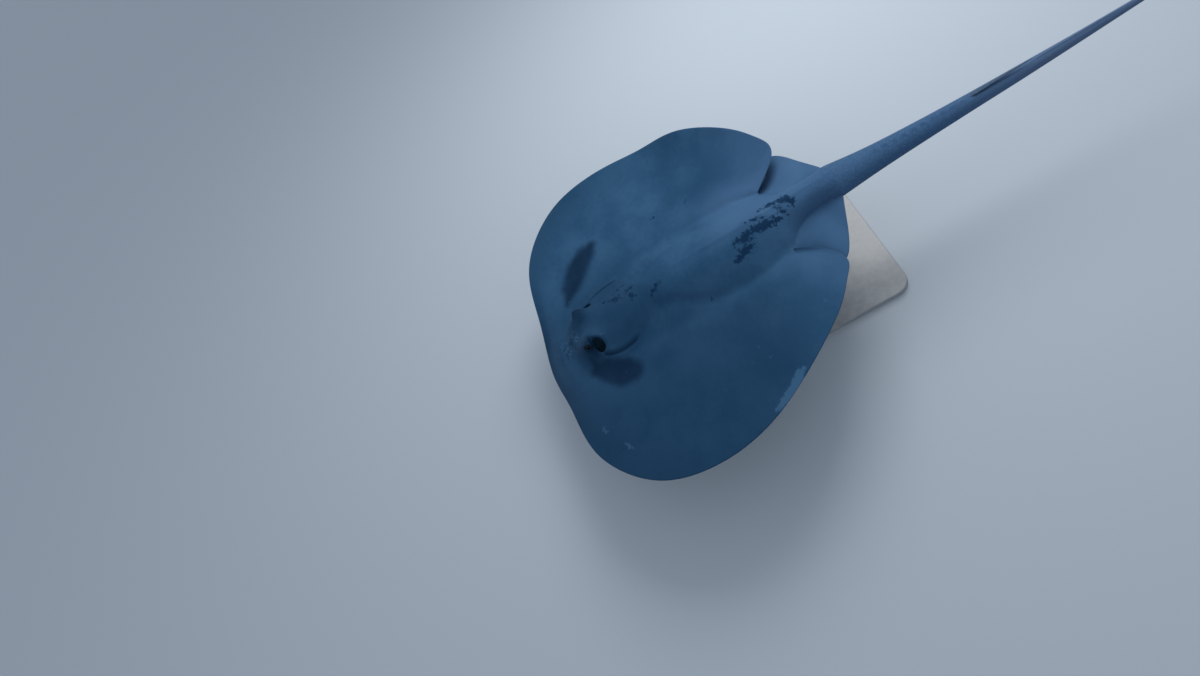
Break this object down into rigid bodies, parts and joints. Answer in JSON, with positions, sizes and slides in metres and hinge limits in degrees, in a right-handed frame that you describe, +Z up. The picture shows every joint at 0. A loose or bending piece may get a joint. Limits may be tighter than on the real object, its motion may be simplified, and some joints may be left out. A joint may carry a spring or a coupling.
{
  "type": "stingray display model",
  "caption": "Life-size still model of a short-tail stingray gliding with one wing raised, a long tail with a sting, and a flat stand with rods.",
  "frame": {"origin": "centre of the underside of the stand's base, on the floor", "axes": "+Z up; the animal faces -Y, so its tail runs along +Y; its left side is +X"},
  "size_m": [1.4218, 2.6, 0.4608],
  "materials": {
    "skin": "soft satin resin cast, slate blue above and pale below",
    "sting": "dull satin resin, slate blue like the skin of the tail",
    "eye": "clear polished resin over a dark eye",
    "stand_base": "board painted satin pale grey",
    "stand_rod": "fine brushed steel"
  },
  "bodies": {
    "root": {"head": "skin", "trunk": "skin", "pectoral_fin_left": "skin", "pectoral_fin_right": "skin", "pelvic_fin_left": "skin", "pelvic_fin_right": "skin", "tail_base": "skin", "tail_middle": "skin", "tail_tip": "skin", "tail_sting": "sting", "eye_left": "eye", "eye_right": "eye", "stand_base": "stand_base", "stand_rod_front": "stand_rod", "stand_rod_rear": "stand_rod"}
  },
  "joints": []
}
